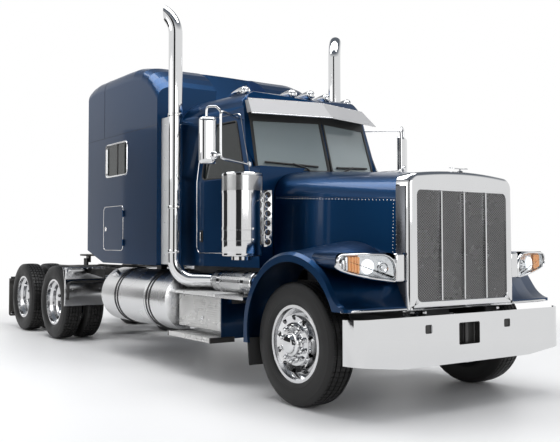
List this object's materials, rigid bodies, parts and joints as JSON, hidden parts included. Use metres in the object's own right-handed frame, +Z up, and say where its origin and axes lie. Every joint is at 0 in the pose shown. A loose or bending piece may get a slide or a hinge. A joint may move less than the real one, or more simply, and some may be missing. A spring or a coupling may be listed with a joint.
{
  "type": "semi truck tractor unit",
  "caption": "Conventional long-nose tractor unit with high-roof sleeper, tandem drive axles, tilting hood, opening doors and fifth wheel.",
  "frame": {"origin": "on the ground under the middle of the truck's length and width", "axes": "+X forward, +Y to the truck's left, +Z up"},
  "size_m": [8.683, 2.816, 3.976],
  "materials": {
    "blue_paint": "deep blue metallic under clear coat",
    "chassis_black": "semi-gloss black enamel",
    "cast_black": "painted castings and forgings",
    "spring_steel": "black painted spring steel",
    "engine_grey": "engine enamel",
    "radiator_core": "finned core",
    "chrome": "mirror bright",
    "polished_aluminium": "polished",
    "polished_stainless": "polished stainless sheet",
    "stainless": "brushed",
    "greased_steel": "greased plate",
    "clear_glass": "laminated, light green tint",
    "dark_glass": "dark privacy tint",
    "red_lens": "moulded lens",
    "black_rubber": "moulded rubber",
    "flap_rubber": "sheet rubber",
    "tyre": "road tyre rubber",
    "trim_plastic": "grained trim",
    "seat_fabric": "woven seat cloth"
  },
  "bodies": {
    "chassis": {"frame_rails": "chassis_black", "crossmembers": "chassis_black", "front_axle": "cast_black", "front_springs": "spring_steel", "drive_axles": "cast_black", "rear_suspension": "chassis_black", "engine": "engine_grey", "driveline": "cast_black", "radiator": "radiator_core", "bumper": "chrome", "fuel_tanks": "polished_aluminium", "step_boxes": "polished_aluminium", "exhaust_canister": "stainless", "cab_shell": "blue_paint", "windshield": "clear_glass", "cab_boot": "black_rubber", "cab_mounts": "black_rubber", "sleeper_shell": "blue_paint", "sleeper_windows": "dark_glass", "sun_visor": "polished_stainless", "roof_lamps": "chrome", "air_cleaners": "polished_stainless", "exhaust_stacks": "chrome", "stack_shields": "polished_stainless", "dashboard": "trim_plastic", "seats": "seat_fabric", "quarter_fenders": "polished_stainless", "mud_flaps": "flap_rubber", "tail_lamps": "red_lens", "fifth_wheel_base": "cast_black"},
    "hood": {"hood_shell": "blue_paint", "grille_surround": "polished_aluminium", "grille": "polished_stainless", "fenders": "blue_paint", "headlamps": "chrome"},
    "door_left": {"door_left": "blue_paint", "door_glass_left": "dark_glass", "mirror_left": "chrome"},
    "baggage_door_left": {"baggage_door_left": "blue_paint"},
    "knuckle_left": {"knuckle_left": "cast_black"},
    "front_wheel_left": {"front_tyre_left": "tyre", "front_wheel_left": "polished_aluminium"},
    "first_drive_wheel_left": {"first_drive_tyres_left": "tyre", "first_drive_wheels_left": "polished_aluminium"},
    "second_drive_wheel_left": {"second_drive_tyres_left": "tyre", "second_drive_wheels_left": "polished_aluminium"},
    "door_right": {"door_right": "blue_paint", "door_glass_right": "dark_glass", "mirror_right": "chrome"},
    "baggage_door_right": {"baggage_door_right": "blue_paint"},
    "knuckle_right": {"knuckle_right": "cast_black"},
    "front_wheel_right": {"front_tyre_right": "tyre", "front_wheel_right": "polished_aluminium"},
    "first_drive_wheel_right": {"first_drive_tyres_right": "tyre", "first_drive_wheels_right": "polished_aluminium"},
    "second_drive_wheel_right": {"second_drive_tyres_right": "tyre", "second_drive_wheels_right": "polished_aluminium"},
    "tie_rod": {"tie_rod": "cast_black"},
    "fifth_wheel": {"fifth_wheel_plate": "greased_steel"}
  },
  "joints": [
    {"name": "hood_tilt", "type": "hinge", "parent": "chassis", "child": "hood", "pos_m": [4.2585, 0, 0.808], "axis": [0, 1, 0], "range_deg": [0, 65]},
    {"name": "door_left_swing", "type": "hinge", "parent": "chassis", "child": "door_left", "pos_m": [2.4005, 0.888, 1.7], "axis": [0, 0, -1], "range_deg": [0, 65]},
    {"name": "baggage_door_left_swing", "type": "hinge", "parent": "chassis", "child": "baggage_door_left", "pos_m": [0.0525, 1.17, 1.55], "axis": [0, 0, -1], "range_deg": [0, 100]},
    {"name": "steer_left", "type": "hinge", "parent": "chassis", "child": "knuckle_left", "pos_m": [3.4585, 0.88, 0.525], "axis": [0, 0, 1], "range_deg": [-35, 35]},
    {"name": "front_wheel_left_spin", "type": "hinge", "parent": "knuckle_left", "child": "front_wheel_left", "pos_m": [3.4585, 1.047, 0.525], "axis": [0, 1, 0], "continuous": true},
    {"name": "first_drive_wheel_left_spin", "type": "hinge", "parent": "chassis", "child": "first_drive_wheel_left", "pos_m": [-2.3055, 0.891, 0.525], "axis": [0, 1, 0], "continuous": true},
    {"name": "second_drive_wheel_left_spin", "type": "hinge", "parent": "chassis", "child": "second_drive_wheel_left", "pos_m": [-3.6805, 0.891, 0.525], "axis": [0, 1, 0], "continuous": true},
    {"name": "door_right_swing", "type": "hinge", "parent": "chassis", "child": "door_right", "pos_m": [2.4005, -0.888, 1.7], "axis": [0, 0, 1], "range_deg": [0, 65]},
    {"name": "baggage_door_right_swing", "type": "hinge", "parent": "chassis", "child": "baggage_door_right", "pos_m": [0.0525, -1.17, 1.55], "axis": [0, 0, 1], "range_deg": [0, 100]},
    {"name": "steer_right", "type": "hinge", "parent": "chassis", "child": "knuckle_right", "pos_m": [3.4585, -0.88, 0.525], "axis": [0, 0, 1], "range_deg": [-35, 35]},
    {"name": "front_wheel_right_spin", "type": "hinge", "parent": "knuckle_right", "child": "front_wheel_right", "pos_m": [3.4585, -1.047, 0.525], "axis": [0, 1, 0], "continuous": true},
    {"name": "first_drive_wheel_right_spin", "type": "hinge", "parent": "chassis", "child": "first_drive_wheel_right", "pos_m": [-2.3055, -0.891, 0.525], "axis": [0, 1, 0], "continuous": true},
    {"name": "second_drive_wheel_right_spin", "type": "hinge", "parent": "chassis", "child": "second_drive_wheel_right", "pos_m": [-3.6805, -0.891, 0.525], "axis": [0, 1, 0], "continuous": true},
    {"name": "tie_rod_turn", "type": "hinge", "parent": "knuckle_left", "child": "tie_rod", "pos_m": [3.2585, 0.88, 0.4], "axis": [0, 0, 1], "range_deg": [-35, 35]},
    {"name": "fifth_wheel_tilt", "type": "hinge", "parent": "chassis", "child": "fifth_wheel", "pos_m": [-2.9415, 0, 1.105], "axis": [0, 1, 0], "range_deg": [-12, 12]}
  ],
  "couplings": [
    {"joint": "steer_right", "follows": "steer_left", "ratio": 1},
    {"joint": "tie_rod_turn", "follows": "steer_left", "ratio": -1}
  ]
}
